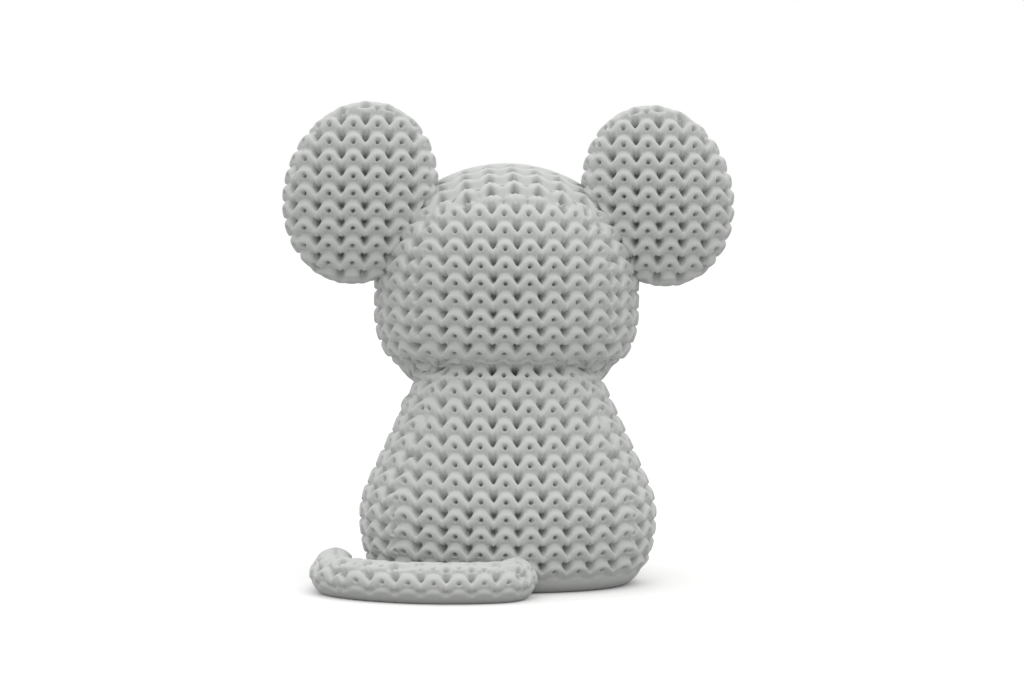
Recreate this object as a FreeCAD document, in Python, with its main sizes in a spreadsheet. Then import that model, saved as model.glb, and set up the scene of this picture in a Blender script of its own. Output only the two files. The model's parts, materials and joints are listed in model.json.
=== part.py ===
import FreeCAD, Part
import Sketcher
import math
import os

# A sitting mouse figurine, printed in one pale grey plastic as separate pieces that are
# glued on round pegs. Millimetres, +Z up, the mouse faces -Y, its left side is +X, and the
# origin lies on the ground, on the upright axis of the body.

doc = FreeCAD.newDocument("mouse_figurine")
sheet = doc.addObject("Spreadsheet::Sheet", "Sizes")

DRIVING_SIZES = [
    # Body: a pear on a flat base, flatter from front to back than from side to side.
    ("base_inset", 5.8),
    ("base_edge_radius", 4.2),
    ("base_trim", 0.2),
    ("body_half_width", 23.8),
    ("belly_height", 11.2),
    ("belly_radius", 12.0),
    ("neck_half_width", 12.6),
    ("neck_height", 38.0),
    ("body_depth_share", 0.75),
    ("neck_peg_radius", 5.0),
    ("neck_peg_length", 6.0),
    # Head: a round crown, straight cheeks and a rounded chin, set forward of the body.
    ("head_half_width", 21.4),
    ("cheek_above_neck", 10.5),
    ("crown_rise", 19.7),
    ("cheek_drop", 4.5),
    ("chin_radius", 12.5),
    ("head_depth_share", 0.90),
    ("head_forward", 6.7),
    # Stitch rows: level grooves round the body and the head, counted from the cheek.
    ("row_height", 2.854),
    ("row_offset", 0.99),
    ("row_gap", 0.9),
    ("row_depth", 0.8),
    # Ears: thick round pads, crowned behind and dished in front.
    ("ear_half_width", 11.9),
    ("ear_half_height", 14.6),
    ("ear_lean", 16.0),
    ("ear_crown_radius", 20.6),
    ("ear_rim_radius", 3.0),
    ("ear_dish_floor", 5.2),
    ("ear_back_reach", 9.9),
    ("ear_outward_share", 1.145),
    ("ear_rise_share", 0.767),
    ("ear_peg_radius", 2.0),
    ("ear_peg_depth", 3.9),
    ("ear_peg_inset", 4.0),
    ("ear_peg_length", 10.5),
    ("ear_peg_tilt", 58.0),
    # Tail: a round rope of plastic laid on the ground round the mouse's left side.
    ("tail_radius", 3.2),
    ("tail_centre_height", 2.75),
    ("tail_root_left", 0.5),
    ("tail_root_stand", 1.64),
    ("tail_bend_radius", 5.5),
    ("tail_sweep_radius", 21.8),
    ("tail_sweep_inset", 18.5),
    ("tail_hook_radius", 9.0),
    ("tail_side_gap", 5.3),
    ("tail_tip_inset", 0.7),
    ("tail_tip_run", 14.6),
    ("tail_peg_radius", 1.8),
    ("tail_peg_length", 7.0),
    # Arms: tapered rolls from the shoulders down onto the belly.
    ("shoulder_radius", 4.2),
    ("paw_radius", 4.7),
    ("arm_run", 11.4),
    ("paw_foot_gap", 0.5),
    ("shoulder_drop", 11.2),
    ("shoulder_outward_share", 0.745),
    ("shoulder_forward_share", 0.735),
    ("arm_heading", -124.0),
    ("arm_peg_heading", -53.0),
    ("arm_peg_radius", 1.5),
    ("arm_peg_length", 7.0),
    # Feet: egg shapes that lie forward on the ground, cut flat below.
    ("foot_half_width", 6.6),
    ("foot_half_length", 9.8),
    ("foot_half_height", 6.8),
    ("foot_sink", 0.9),
    ("foot_outward_share", 0.58),
    ("foot_forward_share", 0.94),
    ("foot_splay", 12.0),
    ("foot_peg_radius", 2.0),
    ("foot_peg_length", 8.0),
    # Muzzle and nose: an egg on the front of the head with a bead at its tip.
    ("muzzle_half_width", 8.6),
    ("muzzle_half_height", 7.4),
    ("muzzle_half_length", 13.0),
    ("muzzle_drop", 5.0),
    ("muzzle_forward_share", 0.87),
    ("muzzle_peg_radius", 3.0),
    ("muzzle_peg_length", 13.0),
    ("nose_half_width", 2.9),
    ("nose_half_height", 2.2),
    ("nose_half_length", 2.2),
    ("nose_rise", 1.4),
    ("nose_sink", 0.9),
    # Eyes: small beads on short pins.
    ("eye_radius", 2.6),
    ("eye_sink", 0.8),
    ("eye_outward_share", 0.37),
    ("eye_rise", 2.6),
    ("bead_pin_radius", 0.8),
    ("bead_pin_length", 5.0),
    # Fit of every peg in its socket, all round and at its end.
    ("peg_clearance", 0.12),
    ("socket_end_gap", 0.5),
    ("cut_overrun", 5.0),
]
for row, (alias, value) in enumerate(DRIVING_SIZES, start=1):
    sheet.set(f"A{row}", alias.replace("_", " "))
    sheet.set(f"B{row}", str(value))
    sheet.setAlias(f"B{row}", alias)
doc.recompute()

# Places that several pieces share, worked out from the sizes.
BASE_HALF = "(Sizes.body_half_width - Sizes.base_inset)"
BODY_HALF_DEPTH = "(Sizes.body_half_width * Sizes.body_depth_share)"
CHEEK_Z = "(Sizes.neck_height + Sizes.cheek_above_neck)"
HEAD_HALF_DEPTH = "(Sizes.head_half_width * Sizes.head_depth_share)"

X_AXIS = FreeCAD.Vector(1, 0, 0)
Y_AXIS = FreeCAD.Vector(0, 1, 0)
Z_AXIS = FreeCAD.Vector(0, 0, 1)
ORIGIN = FreeCAD.Vector(0, 0, 0)
UPRIGHT = FreeCAD.Placement(ORIGIN, FreeCAD.Rotation(X_AXIS, 90))


def size(expression):
    """The value of a driving size, or of an expression on the sheet, for a first draft."""
    if not expression.startswith("("):
        expression = "Sizes." + expression
    return float(sheet.evalExpression(expression))


def bind(item, expressions):
    """Tie properties of an object to the sheet."""
    for path, expression in expressions.items():
        item.setExpression(path, expression)
    return item


def add(kind, label, expressions=None):
    item = doc.addObject(kind, label)
    return bind(item, expressions or {})


def place(x="0", y="0", z="0", axis=(0, 0, 1), angle="0"):
    """A placement written as an expression."""
    turn = "rotation(vector({}; {}; {}); {})".format(*axis, angle)
    return f"placement(vector({x}; {y}; {z}); {turn})"


def aim(x, y, z, yaw, pitch):
    """A placement whose own Z axis leans from the upright by a pitch, towards a heading."""
    return f"placement(vector({x}; {y}; {z}); rotation({yaw}; {pitch}; 0))"


def point(x, y):
    return FreeCAD.Vector(x, y, 0)


def arc(centre, radius, start_angle, end_angle):
    circle = Part.Circle(centre, Z_AXIS, radius)
    return Part.ArcOfCircle(circle, math.radians(start_angle), math.radians(end_angle))


def heading(start, end):
    """The angle in degrees of the line from one point to another."""
    return math.degrees(math.atan2(end.y - start.y, end.x - start.x))


START, END, CENTRE = 1, 2, 3
FIRST_POINT = -1


def fix(sketch, name, kind, geometry, expression):
    """Add a named dimension to a sketch and tie it to the sheet."""
    value = sketch.evalExpression(expression)
    index = sketch.addConstraint(Sketcher.Constraint(kind, *geometry, float(value)))
    sketch.renameConstraint(index, name)
    sketch.setExpression(f"Constraints.{name}", expression)


def fix_place(sketch, name, edge, end, x=None, y=None):
    """Set how far one end of an edge lies from the sketch's origin."""
    if x:
        fix(sketch, name + "_x", "DistanceX", (FIRST_POINT, START, edge, end), x)
    if y:
        fix(sketch, name + "_y", "DistanceY", (FIRST_POINT, START, edge, end), y)


def join(sketch, kind, *pairs):
    """Join the end of each edge to the start of the next, plainly or in tangent."""
    for first, second in pairs:
        sketch.addConstraint(Sketcher.Constraint(kind, first, END, second, START))


def revolve(label, sketch, axis):
    form = add("Part::Revolution", label)
    form.Source = sketch
    form.Axis = axis
    form.Base = ORIGIN
    form.Angle = 360
    form.Solid = True
    return form


def stretch(label, base, expressions):
    """Scale a turned form along its own axes."""
    form = add("Part::Scale", label)
    form.Base = base
    form.Uniform = False
    return bind(form, expressions)


def egg(label, along_x, along_y, along_z, placement):
    sizes = {"Radius2": along_x, "Radius3": along_y, "Radius1": along_z}
    form = add("Part::Ellipsoid", label, {**sizes, "Placement": placement})
    form.Angle1 = -90
    form.Angle2 = 90
    return form


def peg_and_socket(label, radius, length, placement):
    """A round peg and the hole that takes it, both starting at the same point."""
    peg = add("Part::Cylinder", label + "_peg", {
        "Radius": f"Sizes.{radius}", "Height": f"Sizes.{length}", "Placement": placement})
    socket = add("Part::Cylinder", label + "_socket", {
        "Radius": f"Sizes.{radius} + Sizes.peg_clearance",
        "Height": f"Sizes.{length} + Sizes.socket_end_gap", "Placement": placement})
    return peg, socket


def fuse(label, items):
    form = add("Part::MultiFuse", label)
    form.Shapes = items
    return form


def cut(label, base, tools):
    form = add("Part::Cut", label)
    form.Base = base
    form.Tool = tools[0] if len(tools) == 1 else fuse(label + "_tools", tools)
    return form


def mirror(label, source):
    """The same form on the mouse's right side."""
    form = add("Part::Mirroring", label)
    form.Source = source
    form.Normal = X_AXIS
    return form


# The ground: everything below it is cut away, so that the pieces on it stand flat.
GROUND_HALF = "(2 * Sizes.body_half_width + Sizes.cut_overrun)"
GROUND_DEPTH = "(2 * Sizes.foot_half_height + Sizes.cut_overrun)"
ground = add("Part::Box", "ground", {
    "Length": "2 * " + GROUND_HALF, "Width": "2 * " + GROUND_HALF, "Height": GROUND_DEPTH,
    "Placement": place("-" + GROUND_HALF, "-" + GROUND_HALF, "-" + GROUND_DEPTH)})


# Body form: half of the pear's outline, turned about the upright axis and pressed flatter.
def body_outline():
    sketch = add("Sketcher::SketchObject", "body_outline")
    sketch.Placement = UPRIGHT
    base = size(BASE_HALF)
    edge = size("base_edge_radius")
    side = size("body_half_width")
    belly = size("belly_height")
    round_off = size("belly_radius")
    neck = point(size("neck_half_width"), size("neck_height"))
    # The side's radius follows from meeting the base edge and the upright at the belly.
    edge_centre = point(base, edge - size("base_trim"))
    rise = belly - edge_centre.y
    inset = side - base
    side_radius = (rise * rise + inset * inset - edge * edge) / (2 * (inset - edge))
    side_centre = point(side - side_radius, belly)
    belly_centre = point(side - round_off, belly)
    meeting = heading(side_centre, edge_centre)
    bottom = point(0, edge_centre.y - edge)
    lean = heading(neck, belly_centre) + 90
    flank = point(belly_centre.x + round_off * math.cos(math.radians(lean / 2)),
                  belly_centre.y + round_off * math.sin(math.radians(lean / 2)))
    sketch.addGeometry([
        Part.LineSegment(point(0, neck.y), bottom),
        Part.LineSegment(bottom, point(base, bottom.y)),
        arc(edge_centre, edge, -90, meeting),
        arc(side_centre, side_radius, meeting, 0),
        arc(belly_centre, round_off, 0, lean / 2),
        Part.LineSegment(flank, neck),
        Part.LineSegment(neck, point(0, neck.y)),
    ])
    join(sketch, "Coincident", (0, 1), (5, 6), (6, 0))
    join(sketch, "Tangent", (1, 2), (2, 3), (3, 4), (4, 5))
    sketch.addConstraint(Sketcher.Constraint("PointOnObject", 0, END, -2))
    sketch.addConstraint(Sketcher.Constraint("Vertical", 0))
    sketch.addConstraint(Sketcher.Constraint("Horizontal", 1))
    sketch.addConstraint(Sketcher.Constraint("Horizontal", 6))
    sketch.addConstraint(Sketcher.Constraint("Horizontal", 4, CENTRE, 4, START))
    fix_place(sketch, "base", 1, END, x=BASE_HALF, y="-Sizes.base_trim")
    fix(sketch, "edge_radius", "Radius", (2,), "Sizes.base_edge_radius")
    fix_place(sketch, "belly", 3, END, x="Sizes.body_half_width", y="Sizes.belly_height")
    fix(sketch, "belly_round", "Radius", (4,), "Sizes.belly_radius")
    fix_place(sketch, "neck", 5, END, x="Sizes.neck_half_width", y="Sizes.neck_height")
    return sketch


body_turned = revolve("body_turned", body_outline(), Z_AXIS)
body_pear = stretch("body_pear", body_turned, {"YScale": "Sizes.body_depth_share"})
body_form = cut("body_form", body_pear, [ground])


# Head form: crown, cheek and chin outline, turned about its own upright axis.
def head_outline():
    sketch = add("Sketcher::SketchObject", "head_outline")
    sketch.Placement = UPRIGHT
    half = size("head_half_width")
    cheek = size(CHEEK_Z)
    rise = size("crown_rise")
    chin = size("chin_radius")
    lower = cheek - size("cheek_drop")
    # Two arcs in place of the quarter of an ellipse of this width and rise.
    crown = half * half / rise
    crown_centre = point(0, cheek + rise - crown)
    temple = (half * half + (rise - crown) ** 2 - crown * crown) / (2 * (half - crown))
    temple_centre = point(half - temple, cheek)
    chin_centre = point(half - chin, lower)
    meeting = heading(crown_centre, temple_centre)
    sketch.addGeometry([
        Part.LineSegment(point(0, cheek + rise), point(0, lower - chin)),
        Part.LineSegment(point(0, lower - chin), point(half - chin, lower - chin)),
        arc(chin_centre, chin, -90, 0),
        Part.LineSegment(point(half, lower), point(half, cheek)),
        arc(temple_centre, temple, 0, meeting),
        arc(crown_centre, crown, meeting, 90),
    ])
    join(sketch, "Coincident", (0, 1), (5, 0))
    join(sketch, "Tangent", (1, 2), (2, 3), (3, 4), (4, 5))
    sketch.addConstraint(Sketcher.Constraint("PointOnObject", 0, START, -2))
    sketch.addConstraint(Sketcher.Constraint("Vertical", 0))
    sketch.addConstraint(Sketcher.Constraint("Horizontal", 1))
    sketch.addConstraint(Sketcher.Constraint("Vertical", 3))
    sketch.addConstraint(Sketcher.Constraint("PointOnObject", 5, CENTRE, -2))
    fix_place(sketch, "cheek", 3, END, x="Sizes.head_half_width", y=CHEEK_Z)
    fix(sketch, "drop", "DistanceY", (3, START, 3, END), "Sizes.cheek_drop")
    fix(sketch, "chin", "Radius", (2,), "Sizes.chin_radius")
    fix_place(sketch, "top", 0, START, y=CHEEK_Z + " + Sizes.crown_rise")
    fix(sketch, "crown", "Radius", (5,), "Sizes.head_half_width ^ 2 / Sizes.crown_rise")
    return sketch


head_turned = revolve("head_turned", head_outline(), Z_AXIS)
head_form = stretch("head_form", head_turned, {
    "YScale": "Sizes.head_depth_share", "Placement": place(y="-Sizes.head_forward")})


# Stitch rows: plates cut down to a narrower core leave one level groove to each row.
def row_grooves(label, turned, share, forward, first, last):
    narrower = f"(1 - Sizes.row_depth / Sizes.{label}_half_width)"
    core = stretch(label + "_core", turned, {
        "XScale": narrower, "YScale": f"Sizes.{share} * {narrower}",
        "Placement": place(y=forward)})
    plates = [add("Part::Box", label + "_row", {
        "Length": "2 * " + GROUND_HALF, "Width": "2 * " + GROUND_HALF,
        "Height": "Sizes.row_gap",
        "Placement": place("-" + GROUND_HALF, "-" + GROUND_HALF,
                           f"{CHEEK_Z} + Sizes.row_offset - Sizes.row_gap / 2"
                           f" + {row} * Sizes.row_height")})
              for row in range(first, last + 1)]
    return cut(label + "_grooves", fuse(label + "_plates", plates), [core])


HEAD_ROWS = (-3, 4)
BODY_ROWS = (-15, -7)
head_grooves = row_grooves("head", head_turned, "head_depth_share", "-Sizes.head_forward",
                           *HEAD_ROWS)
body_grooves = row_grooves("body", body_turned, "body_depth_share", "0", *BODY_ROWS)

# Neck: a peg on the body's flat top goes up into the head.
neck_peg, neck_socket = peg_and_socket(
    "neck", "neck_peg_radius", "neck_peg_length", place(z="Sizes.neck_height"))


# Ears: the outline of crown, rim and dish is turned about the line through the ear from
# back to front, stretched upwards, and leaned with its top towards the head.
def ear_outline():
    sketch = add("Sketcher::SketchObject", "ear_outline")
    half = size("ear_half_width")
    crown = size("ear_crown_radius")
    rim = size("ear_rim_radius")
    floor = size("ear_dish_floor")
    across = half - rim
    crown_centre = point(0, -crown)
    rim_centre = point(across, math.sqrt((crown - rim) ** 2 - across ** 2) - crown)
    drop = floor + rim_centre.y
    dish = (across ** 2 + drop ** 2 - rim ** 2) / (2 * (rim - drop))
    dish_centre = point(0, -floor - dish)
    back_meeting = heading(crown_centre, rim_centre)
    front_meeting = heading(rim_centre, dish_centre)
    sketch.addGeometry([
        Part.LineSegment(ORIGIN, point(0, -floor)),
        arc(dish_centre, dish, heading(dish_centre, rim_centre), 90),
        arc(rim_centre, rim, front_meeting, back_meeting),
        arc(crown_centre, crown, back_meeting, 90),
    ])
    sketch.addConstraint(Sketcher.Constraint("Coincident", 0, START, FIRST_POINT, START))
    sketch.addConstraint(Sketcher.Constraint("Vertical", 0))
    sketch.addConstraint(Sketcher.Constraint("Coincident", 0, END, 1, END))
    sketch.addConstraint(Sketcher.Constraint("Tangent", 1, START, 2, START))
    join(sketch, "Tangent", (2, 3))
    sketch.addConstraint(Sketcher.Constraint("Coincident", 3, END, 0, START))
    sketch.addConstraint(Sketcher.Constraint("PointOnObject", 1, CENTRE, -2))
    sketch.addConstraint(Sketcher.Constraint("PointOnObject", 3, CENTRE, -2))
    fix(sketch, "floor", "DistanceY", (0, END, 0, START), "Sizes.ear_dish_floor")
    fix(sketch, "crown", "Radius", (3,), "Sizes.ear_crown_radius")
    fix(sketch, "rim", "Radius", (2,), "Sizes.ear_rim_radius")
    fix_place(sketch, "rim", 2, CENTRE, x="Sizes.ear_half_width - Sizes.ear_rim_radius")
    return sketch


EAR_X = "Sizes.head_half_width * Sizes.ear_outward_share"
EAR_Y = "Sizes.ear_back_reach - Sizes.head_forward"
EAR_Z = CHEEK_Z + " + Sizes.crown_rise * Sizes.ear_rise_share"
ear_form = stretch("ear_form", revolve("ear_turned", ear_outline(), Y_AXIS), {
    "ZScale": "Sizes.ear_half_height / Sizes.ear_half_width",
    "Placement": place(EAR_X, EAR_Y, EAR_Z, axis=(0, 1, 0), angle="-Sizes.ear_lean")})
ear_peg, ear_socket = peg_and_socket("ear", "ear_peg_radius", "ear_peg_length", place(
    EAR_X + " - Sizes.ear_peg_inset * sin(Sizes.ear_peg_tilt)",
    EAR_Y + " - Sizes.ear_peg_depth",
    EAR_Z + " - Sizes.ear_peg_inset * cos(Sizes.ear_peg_tilt)",
    axis=(0, 1, 0), angle="180 + Sizes.ear_peg_tilt"))


# Tail: straight out of the back, round a tight bend, a long sweep and a hook to the tip.
TAIL_RUN = f"({BODY_HALF_DEPTH} + Sizes.tail_root_stand)"
TAIL_REACH = "(Sizes.body_half_width + Sizes.tail_side_gap)"
SWEEP_X = f"({TAIL_REACH} - Sizes.tail_sweep_inset)"
TIP_X = f"({TAIL_REACH} - Sizes.tail_tip_inset)"
TIP_Y = f"({TAIL_RUN} - Sizes.tail_tip_run)"


def tail_route():
    sketch = add("Sketcher::SketchObject", "tail_route", {
        "Placement": place(z="Sizes.tail_centre_height")})
    root = size("tail_root_left")
    run = size(TAIL_RUN)
    bend = size("tail_bend_radius")
    sweep = size("tail_sweep_radius")
    hook = size("tail_hook_radius")
    bend_centre = point(root + bend, run)
    sweep_x = size(SWEEP_X)
    sweep_y = run - math.sqrt((sweep - bend) ** 2 - (sweep_x - bend_centre.x) ** 2)
    sweep_centre = point(sweep_x, sweep_y)
    hook_x = size(TAIL_REACH) - hook
    hook_y = sweep_y + math.sqrt((sweep - hook) ** 2 - (hook_x - sweep_x) ** 2)
    hook_centre = point(hook_x, hook_y)
    tip = point(size(TIP_X), size(TIP_Y))
    to_bend = heading(sweep_centre, bend_centre)
    to_hook = heading(sweep_centre, hook_centre)
    sketch.addGeometry([
        Part.LineSegment(point(root, run / 2), point(root, run)),
        arc(bend_centre, bend, to_bend, 180),
        arc(sweep_centre, sweep, to_hook, to_bend),
        arc(hook_centre, hook, 0, to_hook),
        Part.LineSegment(point(hook_x + hook, hook_y), tip),
    ])
    tangent = [(0, END, 1, END), (1, START, 2, END), (2, START, 3, END), (3, START, 4, START)]
    for ends in tangent:
        sketch.addConstraint(Sketcher.Constraint("Tangent", *ends))
    sketch.addConstraint(Sketcher.Constraint("Vertical", 0))
    fix_place(sketch, "root", 0, START, x="Sizes.tail_root_left", y=TAIL_RUN + " / 2")
    fix_place(sketch, "run", 0, END, y=TAIL_RUN)
    fix(sketch, "bend", "Radius", (1,), "Sizes.tail_bend_radius")
    fix(sketch, "sweep", "Radius", (2,), "Sizes.tail_sweep_radius")
    fix(sketch, "hook", "Radius", (3,), "Sizes.tail_hook_radius")
    fix_place(sketch, "sweep", 2, CENTRE, x=SWEEP_X)
    fix_place(sketch, "hook", 3, CENTRE, x=TAIL_REACH + " - Sizes.tail_hook_radius")
    fix_place(sketch, "tip", 4, END, x=TIP_X, y=TIP_Y)
    return sketch


tail_ring = add("Part::Circle", "tail_ring", {
    "Radius": "Sizes.tail_radius",
    "Placement": place("Sizes.tail_root_left", TAIL_RUN + " / 2",
                       "Sizes.tail_centre_height", axis=(1, 0, 0), angle="90")})
tail_path = tail_route()
tail_tube = add("Part::Sweep", "tail_tube")
tail_tube.Sections = [tail_ring]
tail_tube.Spine = (tail_path, [f"Edge{i + 1}" for i in range(tail_path.GeometryCount)])
tail_tube.Solid = True
tail_tube.Frenet = False
tail_tip = add("Part::Sphere", "tail_tip", {
    "Radius": "Sizes.tail_radius",
    "Placement": place(TIP_X, TIP_Y, "Sizes.tail_centre_height")})
tail_peg, tail_socket = peg_and_socket("tail", "tail_peg_radius", "tail_peg_length", place(
    "Sizes.tail_root_left", TAIL_RUN, "Sizes.tail_radius", axis=(1, 0, 0), angle="90"))

# Feet: eggs on the ground, turned outwards, each with a peg back into the body.
FOOT_X = BASE_HALF + " * Sizes.foot_outward_share"
FOOT_Y = f"-{BODY_HALF_DEPTH} * Sizes.foot_forward_share"
FOOT_Z = "Sizes.foot_half_height - Sizes.foot_sink"
foot_form = egg("foot_form", "Sizes.foot_half_width", "Sizes.foot_half_length",
                "Sizes.foot_half_height",
                place(FOOT_X, FOOT_Y, FOOT_Z, angle="Sizes.foot_splay"))
foot_peg, foot_socket = peg_and_socket("foot", "foot_peg_radius", "foot_peg_length", place(
    FOOT_X, FOOT_Y, FOOT_Z, axis=(1, 0, 0), angle="-90"))

# The shoulder stands just off the flank, whose half width grows evenly below the neck, and
# the paw hangs a small gap above the height of the foot.
FLANK = ("(Sizes.neck_half_width + (Sizes.body_half_width - Sizes.neck_half_width)"
         " * Sizes.shoulder_drop / (Sizes.neck_height - Sizes.belly_height))")
SHOULDER_X = FLANK + " * Sizes.shoulder_outward_share"
SHOULDER_Y = f"-{FLANK} * Sizes.body_depth_share * Sizes.shoulder_forward_share"
SHOULDER_Z = "Sizes.neck_height - Sizes.shoulder_drop"
PAW_Z = f"{FOOT_Z} + Sizes.foot_half_height + Sizes.paw_foot_gap + Sizes.paw_radius"
ARM_DROP = f"({SHOULDER_Z} - ({PAW_Z}))"
ARM_LENGTH = f"(sqrt(Sizes.arm_run ^ 2 + {ARM_DROP} ^ 2))"
ARM_PITCH = f"90 deg + atan({ARM_DROP} / Sizes.arm_run)"


# Arms: a roll with a round shoulder and a larger round paw, turned about its own length.
def arm_outline():
    sketch = add("Sketcher::SketchObject", "arm_outline")
    sketch.Placement = UPRIGHT
    shoulder = size("shoulder_radius")
    paw = size("paw_radius")
    length = size(ARM_LENGTH)
    paw_centre = point(0, length)
    lean = math.degrees(math.asin((shoulder - paw) / length))
    side = point(math.cos(math.radians(lean)), math.sin(math.radians(lean)))
    sketch.addGeometry([
        Part.LineSegment(point(0, length + paw), point(0, -shoulder)),
        arc(ORIGIN, shoulder, -90, lean),
        Part.LineSegment(side * shoulder, paw_centre + side * paw),
        arc(paw_centre, paw, lean, 90),
    ])
    join(sketch, "Coincident", (0, 1), (3, 0))
    join(sketch, "Tangent", (1, 2), (2, 3))
    sketch.addConstraint(Sketcher.Constraint("Coincident", 1, CENTRE, FIRST_POINT, START))
    sketch.addConstraint(Sketcher.Constraint("PointOnObject", 3, CENTRE, -2))
    sketch.addConstraint(Sketcher.Constraint("PointOnObject", 0, START, -2))
    sketch.addConstraint(Sketcher.Constraint("Vertical", 0))
    fix(sketch, "shoulder", "Radius", (1,), "Sizes.shoulder_radius")
    fix(sketch, "paw", "Radius", (3,), "Sizes.paw_radius")
    fix(sketch, "length", "DistanceY", (1, CENTRE, 3, CENTRE), ARM_LENGTH)
    return sketch


arm_form = revolve("arm_turned", arm_outline(), Z_AXIS)
bind(arm_form, {"Placement": aim(SHOULDER_X, SHOULDER_Y, SHOULDER_Z,
                                 "Sizes.arm_heading", ARM_PITCH)})
arm_peg, arm_socket = peg_and_socket("arm", "arm_peg_radius", "arm_peg_length", aim(
    SHOULDER_X, SHOULDER_Y, SHOULDER_Z, "180 + Sizes.arm_peg_heading", "90"))

# Muzzle and nose, both on pegs that run straight back.
MUZZLE_Y = f"-Sizes.head_forward - {HEAD_HALF_DEPTH} * Sizes.muzzle_forward_share"
MUZZLE_Z = CHEEK_Z + " - Sizes.muzzle_drop"
NOSE_Y = MUZZLE_Y + " - Sizes.muzzle_half_length + Sizes.nose_sink"
NOSE_Z = MUZZLE_Z + " + Sizes.nose_rise"
muzzle_form = egg("muzzle_form", "Sizes.muzzle_half_width", "Sizes.muzzle_half_length",
                  "Sizes.muzzle_half_height", place(y=MUZZLE_Y, z=MUZZLE_Z))
nose_form = egg("nose_form", "Sizes.nose_half_width", "Sizes.nose_half_length",
                "Sizes.nose_half_height", place(y=NOSE_Y, z=NOSE_Z))
muzzle_peg, muzzle_socket = peg_and_socket(
    "muzzle", "muzzle_peg_radius", "muzzle_peg_length",
    place(y=MUZZLE_Y + " - Sizes.muzzle_half_length / 2", z=MUZZLE_Z,
          axis=(1, 0, 0), angle="-90"))
nose_peg, nose_socket = peg_and_socket(
    "nose", "bead_pin_radius", "bead_pin_length",
    place(y=NOSE_Y + " - Sizes.nose_half_length / 2", z=NOSE_Z,
          axis=(1, 0, 0), angle="-90"))

# Eyes: each bead's centre lies a little below the surface of the upper cheek.
EYE_X = "Sizes.head_half_width * Sizes.eye_outward_share"
EYE_Y = (f"-Sizes.head_forward + Sizes.eye_sink - {HEAD_HALF_DEPTH}"
         " * sqrt(1 - Sizes.eye_outward_share ^ 2 - (Sizes.eye_rise / Sizes.crown_rise) ^ 2)")
EYE_Z = CHEEK_Z + " + Sizes.eye_rise"
eye_form = egg("eye_form", "Sizes.eye_radius", "Sizes.eye_radius", "Sizes.eye_radius",
               place(EYE_X, EYE_Y, EYE_Z))
eye_peg, eye_socket = peg_and_socket(
    "eye", "bead_pin_radius", "bead_pin_length",
    place(EYE_X, EYE_Y + " - Sizes.eye_radius / 2", EYE_Z, axis=(1, 0, 0), angle="-90"))


def paired(label, source):
    return [source, mirror(label, source)]


# The finished pieces. A smaller piece is cut by the one that carries it, gets its peg, and
# the one that carries it gets the socket.
tail_solid = fuse("tail_solid", [tail_tube, tail_tip])
left_arm = fuse("left_arm", [cut("arm_seated", arm_form, [body_form, head_form]), arm_peg])
left_foot = fuse("left_foot", [cut("foot_seated", foot_form, [body_form, ground]), foot_peg])
left_ear = fuse("left_ear", [cut("ear_seated", ear_form, [head_form]), ear_peg])
left_eye = fuse("left_eye", [cut("eye_seated", eye_form, [head_form]), eye_peg])
muzzle_seated = cut("muzzle_seated", muzzle_form, [head_form])
muzzle_pegged = fuse("muzzle_pegged", [muzzle_seated, muzzle_peg])
PIECES = {
    "body": cut("body_socketed", fuse("body_pegged", [body_form, neck_peg]), [
        body_grooves, tail_socket, *paired("arm_socket_right", arm_socket),
        *paired("foot_socket_right", foot_socket)]),
    "head": cut("head_socketed", head_form, [
        head_grooves, body_form, neck_socket, muzzle_socket, *paired("ear_socket_right", ear_socket),
        *paired("eye_socket_right", eye_socket)]),
    "left_ear": left_ear,
    "right_ear": mirror("ear_right", left_ear),
    "tail": fuse("tail_pegged", [cut("tail_seated", tail_solid, [body_form, ground]), tail_peg]),
    "left_arm": left_arm,
    "right_arm": mirror("arm_right", left_arm),
    "left_foot": left_foot,
    "right_foot": mirror("foot_right", left_foot),
    "muzzle": cut("muzzle_socketed", muzzle_pegged, [nose_socket]),
    "nose": fuse("nose_pegged", [cut("nose_seated", nose_form, [muzzle_form]), nose_peg]),
    "left_eye": left_eye,
    "right_eye": mirror("eye_right", left_eye),
}
for name, piece in PIECES.items():
    piece.Label = name
doc.recompute()

for item in doc.Objects:
    if "Invalid" in item.State or "Error" in item.State:
        raise RuntimeError(f"{item.Label} could not be computed")
for name, piece in PIECES.items():
    if piece.Shape.isNull() or not piece.Shape.isValid() or len(piece.Shape.Solids) != 1:
        raise RuntimeError(f"{name} is not one sound solid")

os.makedirs("parts", exist_ok=True)
for name, piece in PIECES.items():
    piece.Shape.exportStep(f"parts/{name}.step")
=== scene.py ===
import json
import math

import bpy
import numpy as np
from mathutils import Euler, Matrix, Vector
from mathutils.bvhtree import BVHTree

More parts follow.
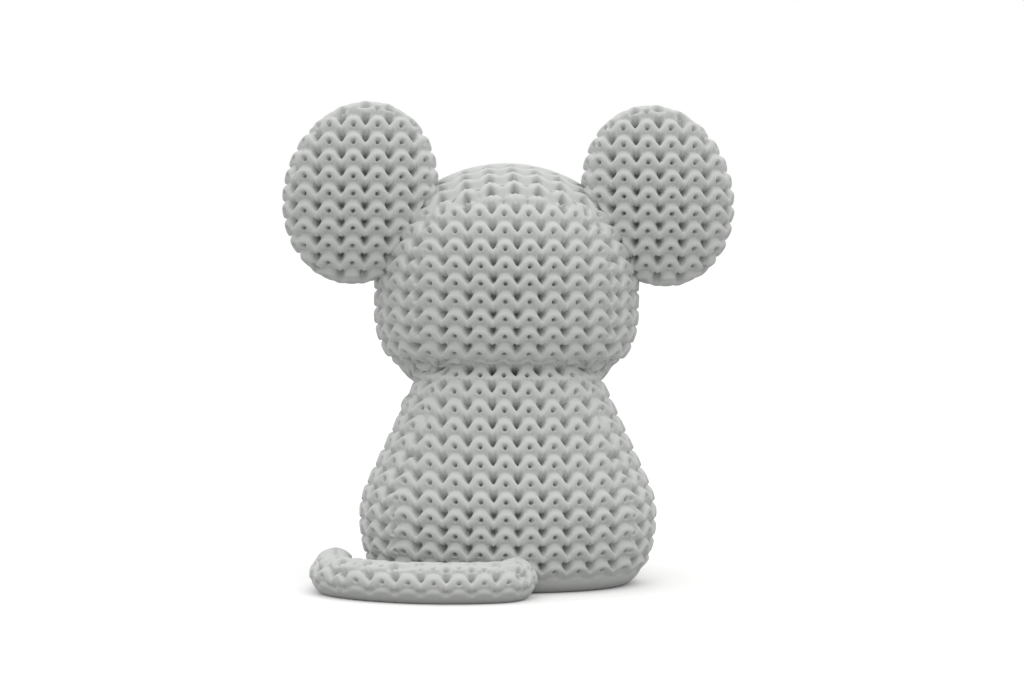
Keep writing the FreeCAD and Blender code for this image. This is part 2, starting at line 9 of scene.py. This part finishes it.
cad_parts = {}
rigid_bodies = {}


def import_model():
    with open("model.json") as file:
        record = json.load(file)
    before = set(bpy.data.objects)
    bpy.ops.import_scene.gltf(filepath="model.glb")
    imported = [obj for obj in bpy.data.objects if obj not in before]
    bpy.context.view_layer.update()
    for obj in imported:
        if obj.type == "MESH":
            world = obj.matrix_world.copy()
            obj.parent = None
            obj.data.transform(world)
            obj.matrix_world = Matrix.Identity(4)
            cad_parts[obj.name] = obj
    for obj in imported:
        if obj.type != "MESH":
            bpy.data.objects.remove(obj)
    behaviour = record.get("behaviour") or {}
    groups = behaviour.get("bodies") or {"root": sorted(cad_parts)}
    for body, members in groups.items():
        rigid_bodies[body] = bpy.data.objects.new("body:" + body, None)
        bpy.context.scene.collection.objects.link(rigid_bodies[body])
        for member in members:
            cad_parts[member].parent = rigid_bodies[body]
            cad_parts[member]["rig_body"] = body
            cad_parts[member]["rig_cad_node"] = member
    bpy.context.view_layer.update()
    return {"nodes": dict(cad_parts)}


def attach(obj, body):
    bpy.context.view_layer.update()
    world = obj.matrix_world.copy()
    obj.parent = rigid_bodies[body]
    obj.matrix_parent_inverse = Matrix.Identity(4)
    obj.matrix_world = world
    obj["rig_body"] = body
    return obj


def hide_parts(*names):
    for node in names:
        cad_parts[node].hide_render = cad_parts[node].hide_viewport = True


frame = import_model()
MM = 0.001


# Body: a pear printed upright on its flat base, in pale grey matte plastic. Its whole skin
# is moulded as stocking stitch, and the head, tail, arms and feet are glued on pegs in it.
STITCH_WIDTH = 4.0
STITCH_HEIGHT = 2.854
ARCH_LEG = (0.14, 0.34)
CREST_HEIGHT = 0.65
CREST_START = 0.793
CREST_LEG_RISE = 0.037
CREST_SWING = 0.384
CREST_BEND = 2.37
LEDGE_SHARE = 0.45
LEDGE_LEG_LOSS = 0.145
UNDERSIDE_DEPTH = 0.85
UNDERSIDE_BEND = 2.8
POCKET_DEPTH = 2.9
POCKET_EDGE = (0.30, 0.48)
POCKET_SLOPE = (0.334, 0.958)
CLIMB_BEND = 1.6
CLIMB_LEG_LOSS = 0.9
PIT_DEPTH = 2.7
PIT_WIDTH = 0.065
PIT_TALL = 0.08
PIT_DROP = 0.039


def smooth_step(low, high, value):
    share = np.clip((value - low) / (high - low), 0.0, 1.0)
    return share * share * (3.0 - 2.0 * share)


def stitch_height(across, down):
    """Height in mm of the knit over the plain skin. The crest of each row runs in a wave
    round the pits. Above it is a ledge, and below it the row sinks behind the next ledge:
    a little under the arches, and as a deep pocket between their legs."""
    from_pit = np.abs(across / STITCH_WIDTH - np.floor(across / STITCH_WIDTH) - 0.5)
    row = down / STITCH_HEIGHT
    leg = smooth_step(*ARCH_LEG, from_pit)
    crest = CREST_START + CREST_LEG_RISE * leg + CREST_SWING * (2.0 * from_pit) ** CREST_BEND
    ledge = LEDGE_SHARE - LEDGE_LEG_LOSS * leg
    past_crest = row - crest - np.floor(row - crest)
    sunk = np.clip(past_crest / (1.0 - ledge), 0.0, 1.0)
    pocket = POCKET_DEPTH * smooth_step(*POCKET_EDGE, from_pit)
    underside = UNDERSIDE_DEPTH * sunk ** UNDERSIDE_BEND
    underside += pocket * smooth_step(*POCKET_SLOPE, sunk)
    climb = np.sin(0.5 * math.pi * np.clip((past_crest - 1.0 + ledge) / ledge, 0.0, 1.0))
    climb = climb ** (CLIMB_BEND - CLIMB_LEG_LOSS * leg)
    from_row = row - PIT_DROP - np.round(row - PIT_DROP)
    pit = np.exp(-(from_pit / PIT_WIDTH) ** 2 - (from_row / PIT_TALL) ** 2)
    return CREST_HEIGHT - underside * (1.0 - climb) - PIT_DEPTH * pit


GAP_COLUMN = -0.13
SIDE_GAP_COLUMN = 1.0
PIT_ROW_HEIGHT = 54.9
CROWN_PIT_ROW = 4.9
BLEND_POWER = 20


def knit_relief(place, facing):
    """The stitch pattern is laid on from the back, the side and above, whichever faces it.
    From above its rows run the other way, so that their pockets open to the back."""
    x, y, z = (place / MM).T
    weight = np.abs(facing) ** BLEND_POWER
    weight /= weight.sum(axis=1, keepdims=True)
    down = PIT_ROW_HEIGHT - z
    from_side = stitch_height(y - SIDE_GAP_COLUMN, down)
    from_back = stitch_height(x - GAP_COLUMN, down)
    from_above = stitch_height(x - GAP_COLUMN, CROWN_PIT_ROW - y)
    return weight[:, 0] * from_side + weight[:, 1] * from_back + weight[:, 2] * from_above


NECK_CREASE = 35.3
CREASE_SPREAD = 1.2
CREASE_DEPTH = 1.1
CREASE_GAIN = 1.3
CREASE_FRONT = (-12.0, -2.0)
CROWN_GAIN = 0.7
CROWN_FACING = (0.6, 0.85)


def crease_and_crown(relief, place, facing):
    """Draw the skin in where head and body meet, and deepen the pockets there and on the
    crown."""
    from_crease = (place[:, 2] / MM - NECK_CREASE) / CREASE_SPREAD
    crease = np.exp(-from_crease ** 2) * smooth_step(*CREASE_FRONT, place[:, 1] / MM)
    crown = smooth_step(*CROWN_FACING, facing[:, 2])
    deeper = 1.0 + CREASE_GAIN * crease + CROWN_GAIN * crown
    return relief * np.where(relief < 0.0, deeper, 1.0) - CREASE_DEPTH * crease


MERGE_WITHIN = 1e-6


def select_only(piece):
    bpy.ops.object.select_all(action="DESELECT")
    piece.select_set(True)
    bpy.context.view_layer.objects.active = piece


def copy_of(node, name):
    """A copy of a CAD piece as one joined-up skin."""
    piece = frame["nodes"][node].copy()
    piece.data = frame["nodes"][node].data.copy()
    piece.name = piece.data.name = name
    piece.parent = None
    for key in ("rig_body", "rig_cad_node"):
        if key in piece:
            del piece[key]
    piece.data.materials.clear()
    bpy.context.collection.objects.link(piece)
    select_only(piece)
    bpy.ops.object.mode_set(mode="EDIT")
    bpy.ops.mesh.select_all(action="SELECT")
    bpy.ops.mesh.remove_doubles(threshold=MERGE_WITHIN)
    bpy.ops.mesh.customdata_custom_splitnormals_clear()
    bpy.ops.object.mode_set(mode="OBJECT")
    return piece


def apply_modifier(piece, kind, **settings):
    modifier = piece.modifiers.new(kind.lower(), kind)
    for key, value in settings.items():
        setattr(modifier, key, value)
    select_only(piece)
    bpy.ops.object.modifier_apply(modifier=modifier.name)


def fill_to_hull(piece):
    """Close a bulging piece over its level grooves, which the knit takes the place of."""
    select_only(piece)
    bpy.ops.object.mode_set(mode="EDIT")
    bpy.ops.mesh.select_all(action="SELECT")
    bpy.ops.mesh.convex_hull(delete_unused=True, use_existing_faces=False,
                             make_holes=False, join_triangles=False)
    bpy.ops.object.mode_set(mode="OBJECT")


plain_skins = {}


def keep_plain_skin(node, piece):
    """Remember the filled skin of a piece that carries others, to measure them from."""
    corners = [vertex.co.copy() for vertex in piece.data.vertices]
    faces = [tuple(face.vertices) for face in piece.data.polygons]
    plain_skins[node] = BVHTree.FromPolygons(corners, faces)


def standing_off(carrier, place):
    """How far in mm each point stands out of the piece that carries it, or in it if less
    than nothing."""
    off = np.empty(len(place))
    for index, point in enumerate(place):
        nearest, normal, _, distance = plain_skins[carrier].find_nearest(point)
        off[index] = math.copysign(distance, (Vector(point) - nearest).dot(normal))
    return off / MM


def measured(piece):
    """The place and the facing of each vertex, and the two ends of each edge."""
    mesh = piece.data
    place = np.empty(3 * len(mesh.vertices))
    mesh.vertices.foreach_get("co", place)
    facing = np.empty(3 * len(mesh.vertices))
    mesh.vertex_normals.foreach_get("vector", facing)
    edges = np.empty(2 * len(mesh.edges), dtype=np.int64)
    mesh.edges.foreach_get("vertices", edges)
    return place.reshape(-1, 3), facing.reshape(-1, 3), edges.reshape(-1, 2)


def evened(values, edges, rounds):
    """Average a direction at each vertex with its neighbours' along the edges."""
    count = len(values)
    ends = np.concatenate([edges, edges[:, ::-1]])
    touching = np.bincount(ends[:, 0], minlength=count)[:, None] + 1
    for _ in range(rounds):
        total = np.stack([np.bincount(ends[:, 0], values[ends[:, 1], axis], count)
                          for axis in range(3)], axis=1)
        values = (values + total) / touching
    return values / np.linalg.norm(values, axis=1, keepdims=True)


def cloudy_tint(material, size, detail, deep, pale):
    """Colour a plastic with a faint change of tint, as printed plastic has."""
    nodes, links = material.node_tree.nodes, material.node_tree.links
    where = nodes.new("ShaderNodeTexCoord")
    cloud = nodes.new("ShaderNodeTexNoise")
    cloud.inputs["Scale"].default_value = size
    cloud.inputs["Detail"].default_value = detail
    links.new(where.outputs["Object"], cloud.inputs["Vector"])
    tint = nodes.new("ShaderNodeMix")
    tint.data_type = "RGBA"
    tint.inputs["A"].default_value = deep
    tint.inputs["B"].default_value = pale
    links.new(cloud.outputs["Fac"], tint.inputs["Factor"])
    links.new(tint.outputs["Result"], nodes["Principled BSDF"].inputs["Base Color"])


PRINT_ROUGHNESS = 0.7
PRINT_CLOUD = 120.0
PRINT_CLOUD_DETAIL = 3.0
PRINT_DEEP = (0.660, 0.676, 0.660, 1.0)
PRINT_PALE = (0.696, 0.712, 0.696, 1.0)
LAYER_HEIGHT = 0.2
LAYER_DEPTH = 0.03
LAYER_SHARPNESS = 0.25
LAYER_WANDER = 0.6
LAYER_DETAIL = 1.0
WAVE_RADIANS = 20.0


def grey_print():
    """Matte pale grey plastic with the fine level lines of its printed layers. At a scale
    of 1 the wave turns by WAVE_RADIANS in a metre, and here it has one wave to each layer."""
    material = bpy.data.materials.new("printed_knit")
    material.use_nodes = True
    nodes, links = material.node_tree.nodes, material.node_tree.links
    shader = nodes["Principled BSDF"]
    shader.inputs["Roughness"].default_value = PRINT_ROUGHNESS
    where = nodes.new("ShaderNodeTexCoord")
    layers = nodes.new("ShaderNodeTexWave")
    layers.wave_type = "BANDS"
    layers.bands_direction = "Z"
    layers.wave_profile = "SIN"
    layers.inputs["Scale"].default_value = math.tau / (WAVE_RADIANS * LAYER_HEIGHT * MM)
    layers.inputs["Distortion"].default_value = LAYER_WANDER
    layers.inputs["Detail"].default_value = LAYER_DETAIL
    links.new(where.outputs["Object"], layers.inputs["Vector"])
    bump = nodes.new("ShaderNodeBump")
    bump.inputs["Strength"].default_value = LAYER_SHARPNESS
    bump.inputs["Distance"].default_value = LAYER_DEPTH * MM
    links.new(layers.outputs["Fac"], bump.inputs["Height"])
    links.new(bump.outputs["Normal"], shader.inputs["Normal"])
    cloudy_tint(material, PRINT_CLOUD, PRINT_CLOUD_DETAIL, PRINT_DEEP, PRINT_PALE)
    return material


knit_plastic = grey_print()
GRAIN = 0.2
SMOOTHING = 0.5
SKIN_SMOOTHINGS = 3
EVENING_ROUNDS = 24
SEAT_SINK = 0.8
SEAT_REACH = 0.08
MOST_TRIANGLES = 190000


def knit_piece(node, ground_fade=None, carrier=None, depth=1.0):
    """Remesh a CAD piece finely, press the knit into its free skin, and sink its seat into
    the piece that carries it, so that no slit shows beside a deep stitch. A piece that
    carries others bulges all round, so it is first filled over its grooves and sockets."""
    piece = copy_of(node, "knit_" + node)
    if carrier is None:
        fill_to_hull(piece)
        keep_plain_skin(node, piece)
    apply_modifier(piece, "REMESH", mode="VOXEL", voxel_size=GRAIN * MM)
    apply_modifier(piece, "SMOOTH", factor=SMOOTHING, iterations=SKIN_SMOOTHINGS)
    place, facing, edges = measured(piece)
    even_facing = evened(facing, edges, EVENING_ROUNDS)
    crests = place + even_facing * CREST_HEIGHT * MM
    relief = knit_relief(crests, even_facing) * depth
    if carrier is None:
        relief = crease_and_crown(relief, place, even_facing)
    if ground_fade:
        relief *= smooth_step(*ground_fade, place[:, 2] / MM)
    move = even_facing * relief[:, None]
    if carrier:
        off = standing_off(carrier, place)
        seat = np.abs(off) < SEAT_REACH
        move[off < SEAT_REACH] = 0.0
        move[seat] = SEAT_SINK * facing[seat]
    moved = place + move * MM
    moved[:, 2] = np.maximum(moved[:, 2], 0.0)
    piece.data.vertices.foreach_set("co", moved.ravel())
    piece.data.update()
    apply_modifier(piece, "SMOOTH", factor=SMOOTHING, iterations=1)
    triangles = 2 * len(piece.data.polygons)
    if triangles > MOST_TRIANGLES:
        apply_modifier(piece, "DECIMATE", ratio=MOST_TRIANGLES / triangles,
                       use_collapse_triangulate=True)
    select_only(piece)
    bpy.ops.object.shade_smooth()
    piece.data.materials.append(knit_plastic)
    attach(piece, "root")
    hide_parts(node)


BASE_FADE = (1.8, 4.4)
knit_piece("body", ground_fade=BASE_FADE)

# Head: a flattened ball of the same print, with a cone-shaped seat and a socket below. It is
# glued over the body's neck so that its rows of stitches run on from the body's.
knit_piece("head")

# Ears: round pads of the same print, crowned behind and dished in front, leaned a little
# towards the head. Each is glued in the head on one round peg.
knit_piece("left_ear", carrier="head")
knit_piece("right_ear", carrier="head")

# Tail: a round roll of the same print, cut flat below, with shallower stitches. It lies on
# the ground round the body's left side, and is glued on a peg in its back.
TAIL_FADE = (1.0, 2.6)
TAIL_STITCH_DEPTH = 0.5
knit_piece("tail", carrier="body", ground_fade=TAIL_FADE, depth=TAIL_STITCH_DEPTH)

# Arms: tapered rolls of the same print that hang from the shoulders, with their paws on the
# belly. Each is glued on a peg in the body.
knit_piece("left_arm", carrier="body")
knit_piece("right_arm", carrier="body")

# Feet: eggs of the same print, cut flat on the ground, that stand out from under the belly.
# Each is glued on a peg in the front of the body.
FOOT_FADE = (0.5, 2.2)
knit_piece("left_foot", carrier="body", ground_fade=FOOT_FADE)
knit_piece("right_foot", carrier="body", ground_fade=FOOT_FADE)

# Muzzle: an egg of the same print that narrows to the nose. It is glued on a peg in the
# front of the head, and carries the nose bead.
knit_piece("muzzle", carrier="head")

# Nose and eyes: smooth beads of the same grey plastic, with a little more sheen than the
# knit. Each is glued in on a short pin of its own.
BEAD_ROUGHNESS = 0.42
BEAD_CLOUD = 400.0
BEAD_CLOUD_DETAIL = 2.0
BEAD_DEEP = (0.55, 0.565, 0.55, 1.0)
BEAD_PALE = (0.62, 0.635, 0.62, 1.0)
BEAD_SHARP_EDGE = math.radians(35)
bead_plastic = bpy.data.materials.new("printed_bead")
bead_plastic.use_nodes = True
bead_shader = bead_plastic.node_tree.nodes["Principled BSDF"]
bead_shader.inputs["Roughness"].default_value = BEAD_ROUGHNESS
cloudy_tint(bead_plastic, BEAD_CLOUD, BEAD_CLOUD_DETAIL, BEAD_DEEP, BEAD_PALE)
for node in ("nose", "left_eye", "right_eye"):
    bead = copy_of(node, "bead_" + node)
    select_only(bead)
    bpy.ops.object.shade_smooth_by_angle(angle=BEAD_SHARP_EDGE)
    bead.data.materials.append(bead_plastic)
    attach(bead, "root")
    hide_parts(node)

# Floor: a plain pale sheet that stands for the white ground of the photograph. The camera
# and all gloss see it white, and it sends less light than that up at the figure.
FLOOR_WIDTH = 200.0
FLOOR_LIGHT = (0.4, 0.4, 0.4, 1.0)
FLOOR_WHITE = (1.12, 1.12, 1.12, 1.0)


def seen_directly(nodes, links):
    """1 for what the camera, a reflection or a clear piece shows, and 0 for plain light."""
    path = nodes.new("ShaderNodeLightPath")
    seen = path.outputs["Is Camera Ray"]
    for ray in ("Is Glossy Ray", "Is Transmission Ray"):
        either = nodes.new("ShaderNodeMath")
        either.operation = "MAXIMUM"
        links.new(seen, either.inputs[0])
        links.new(path.outputs[ray], either.inputs[1])
        seen = either.outputs["Value"]
    return seen


bpy.ops.mesh.primitive_plane_add(size=FLOOR_WIDTH)
floor = bpy.context.active_object
floor.name = "floor"
floor_material = bpy.data.materials.new("floor_white")
floor_material.use_nodes = True
nodes, links = floor_material.node_tree.nodes, floor_material.node_tree.links
floor_shader = nodes["Principled BSDF"]
floor_shader.inputs["Roughness"].default_value = 1.0
floor_shader.inputs["Specular IOR Level"].default_value = 0.0
floor_colour = nodes.new("ShaderNodeMix")
floor_colour.data_type = "RGBA"
floor_colour.clamp_result = False
floor_colour.inputs["A"].default_value = FLOOR_LIGHT
floor_colour.inputs["B"].default_value = FLOOR_WHITE
links.new(seen_directly(nodes, links), floor_colour.inputs["Factor"])
links.new(floor_colour.outputs["Result"], floor_shader.inputs["Base Color"])
floor.data.materials.append(floor_material)

# World: a white sky that is brightest overhead, as in a light tent. The camera and all
# gloss see it plain white.
HORIZON_LIGHT = 0.51
OVERHEAD_LIGHT = 0.72
world = bpy.data.worlds.new("white_sky")
bpy.context.scene.world = world
world.use_nodes = True
nodes, links = world.node_tree.nodes, world.node_tree.links
sky = nodes["Background"]
sky.inputs["Color"].default_value = (1.0, 1.0, 1.0, 1.0)
direction = nodes.new("ShaderNodeTexCoord")
height = nodes.new("ShaderNodeSeparateXYZ")
links.new(direction.outputs["Generated"], height.inputs["Vector"])
light = nodes.new("ShaderNodeMapRange")
light.inputs["To Min"].default_value = HORIZON_LIGHT
light.inputs["To Max"].default_value = HORIZON_LIGHT + OVERHEAD_LIGHT
links.new(height.outputs["Z"], light.inputs["Value"])
strength = nodes.new("ShaderNodeMix")
strength.data_type = "FLOAT"
strength.inputs["B"].default_value = 1.0
links.new(seen_directly(nodes, links), strength.inputs["Factor"])
links.new(light.outputs["Result"], strength.inputs["A"])
links.new(strength.outputs["Result"], sky.inputs["Strength"])

# Lamp: one broad soft light, faintly warm, high above the figure on the camera's side and a
# little to the right of it. The sky does the rest.
LAMP_AT = Vector((-0.13, 0.2, 0.6))
LAMP_AIM = Vector((0.0, 0.0, 0.04))
bpy.ops.object.light_add(type="AREA", location=LAMP_AT)
lamp = bpy.context.active_object
lamp.name = "overhead"
lamp.rotation_euler = (LAMP_AIM - LAMP_AT).to_track_quat("-Z", "Y").to_euler()
lamp.data.shape = "SQUARE"
lamp.data.size = 0.5
lamp.data.energy = 0.41
lamp.data.color = (1.0, 0.965, 0.91)

# Camera: behind the figure, level with its middle and a little to its left. Its distance and
# lens make the stitches fall where the photograph has them.
CAMERA_AT = (36.8 * MM, 430.1 * MM, 54.2 * MM)
CAMERA_YAW = math.radians(4.94)
CAMERA_PITCH = math.radians(1.949)
CAMERA_ROLL = math.radians(0.517)
bpy.ops.object.camera_add(location=CAMERA_AT)
camera = bpy.context.active_object
look = Euler((math.pi / 2 - CAMERA_PITCH, 0.0, math.pi - CAMERA_YAW)).to_matrix()
camera.rotation_euler = (look @ Matrix.Rotation(CAMERA_ROLL, 3, "Z")).to_euler()
camera.data.sensor_width = 36.0
camera.data.lens = 92.77
camera.data.clip_end = 20.0
bpy.context.scene.camera = camera
bpy.context.scene.view_settings.view_transform = "Standard"
